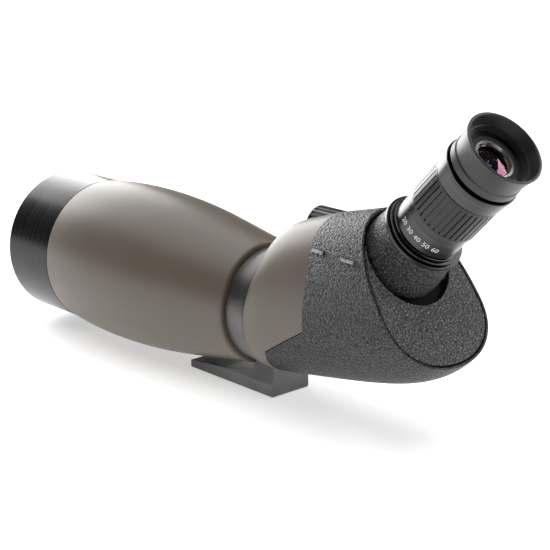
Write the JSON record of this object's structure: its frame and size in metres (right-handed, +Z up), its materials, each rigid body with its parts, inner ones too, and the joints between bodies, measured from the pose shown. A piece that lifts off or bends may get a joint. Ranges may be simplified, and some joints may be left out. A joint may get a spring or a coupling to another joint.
{
  "type": "spotting scope",
  "caption": "Angled zoom spotting scope with a sliding sunshade, rotating tripod collar and foot, focus wheel, rubber-armoured prism housing and 45 degree eyepiece.",
  "frame": {"origin": "mouth of the tripod socket, at the centre of the foot's underside", "axes": "+X along the optical axis toward the eyepiece end (the objective looks toward -X), +Y to the user's right, +Z up"},
  "size_m": [0.4052, 0.1065, 0.187],
  "materials": {
    "collar_metal": "fine crinkle paint, satin",
    "socket_brass": "turned",
    "liner_plastic": "smooth",
    "black_plastic": "satin moulded",
    "knob_rubber": "ribbed satin",
    "steel": "turned",
    "black_anodised": "satin black anodised, turned",
    "hood_black": "satin black anodised, fine turned lines",
    "felt": "short felt",
    "taupe_paint": "soft-touch paint, matte",
    "flat_black": "flat anti-reflection black",
    "lens_glass": "coated, polished",
    "prism_glass": "polished",
    "seal_rubber": "smooth",
    "armor_rubber": "pebbled leatherette grain",
    "eyecup_rubber": "smooth matt",
    "alloy": "machined",
    "brass_bush": "turned",
    "silver_ring": "polished"
  },
  "bodies": {
    "collar": {"mount_collar": "collar_metal", "socket_insert": "socket_brass", "collar_liner_front": "liner_plastic", "collar_liner_rear": "liner_plastic"},
    "scope": {"bearing_flange_screws": "steel", "bearing_nut": "alloy", "bearing_tube": "alloy", "eye_lens": "lens_glass", "eye_lens_cell": "flat_black", "eye_lens_retainer": "silver_ring", "eyecup": "eyecup_rubber", "eyepiece_barrel": "black_anodised", "eyepiece_base": "black_anodised", "eyepiece_lock_ring": "black_anodised", "eyepiece_top_ring": "black_anodised", "field_stop": "flat_black", "focus_bushing": "brass_bush", "front_tube": "taupe_paint", "guide_rods": "steel", "housing_armor": "armor_rubber", "housing_front_plate": "alloy", "lens_guide_tube": "flat_black", "neck_armor": "armor_rubber", "neck_nut": "alloy", "neck_tube": "black_anodised", "objective_barrel": "flat_black", "objective_cell": "flat_black", "objective_crown_lens": "lens_glass", "objective_flint_lens": "lens_glass", "objective_retaining_ring": "flat_black", "objective_seal": "seal_rubber", "objective_spacer": "alloy", "prism_clip": "steel", "prism_clip_screws": "steel", "prism_holder": "alloy", "prism_holder_screws": "steel", "rear_housing": "taupe_paint", "rear_pad": "armor_rubber", "roof_prism": "prism_glass", "tube_baffles": "flat_black"},
    "sunshade": {"sunshade_tube": "hood_black", "sunshade_liner": "felt"},
    "focus_wheel": {"focus_knob": "knob_rubber", "focus_shaft": "steel"},
    "focus_slider": {"focus_carriage": "flat_black", "focusing_lens": "lens_glass", "focusing_lens_ring": "flat_black"},
    "zoom_ring": {"zoom_grip": "knob_rubber", "zoom_cam_tube": "brass_bush"},
    "zoom_front_group": {"zoom_front_cell": "flat_black", "zoom_front_lens": "lens_glass"},
    "zoom_rear_group": {"zoom_rear_cell": "flat_black", "zoom_rear_lens": "lens_glass"},
    "clamp_shoe": {"clamp_pad": "liner_plastic"},
    "clamp_screw": {"clamp_stud": "steel", "clamp_knob": "black_plastic"}
  },
  "joints": [
    {"name": "body_rotation", "type": "hinge", "parent": "collar", "child": "scope", "pos_m": [0.02875, 0, 0.0524], "axis": [1, 0, 0], "continuous": true},
    {"name": "sunshade_slide", "type": "slide", "parent": "scope", "child": "sunshade", "axis": [-1, 0, 0], "range_m": [0, 0.03]},
    {"name": "focus_turn", "type": "hinge", "parent": "scope", "child": "focus_wheel", "pos_m": [0.0595, 0.016, 0.1034], "axis": [1, 0, 0], "range_deg": [-360, 360]},
    {"name": "focus_travel", "type": "slide", "parent": "scope", "child": "focus_slider", "axis": [1, 0, 0], "range_m": [-0.00601, 0.00601]},
    {"name": "zoom_turn", "type": "hinge", "parent": "scope", "child": "zoom_ring", "pos_m": [0.16729, 0, 0.14079], "axis": [0.7071, 0, 0.7071], "range_deg": [0, 110]},
    {"name": "zoom_front_travel", "type": "slide", "parent": "scope", "child": "zoom_front_group", "axis": [0.7071, 0, 0.7071], "range_m": [0, 0.00501]},
    {"name": "zoom_rear_travel", "type": "slide", "parent": "scope", "child": "zoom_rear_group", "axis": [0.7071, 0, 0.7071], "range_m": [-0.00601, 0]},
    {"name": "clamp_travel", "type": "slide", "parent": "collar", "child": "clamp_shoe", "axis": [0, -1, 0], "range_m": [0, 0.0008]},
    {"name": "clamp_turn", "type": "hinge", "parent": "clamp_shoe", "child": "clamp_screw", "pos_m": [0.02875, 0.045, 0.0524], "axis": [0, -1, 0], "range_deg": [0, 360.1]}
  ],
  "couplings": [
    {"joint": "focus_travel", "follows": "focus_turn", "m_per_rad": 0.00095493},
    {"joint": "zoom_front_travel", "follows": "zoom_turn", "m_per_rad": 0.0026044},
    {"joint": "zoom_rear_travel", "follows": "zoom_turn", "m_per_rad": -0.0031252},
    {"joint": "clamp_turn", "follows": "clamp_travel", "rad_per_m": 7854}
  ]
}
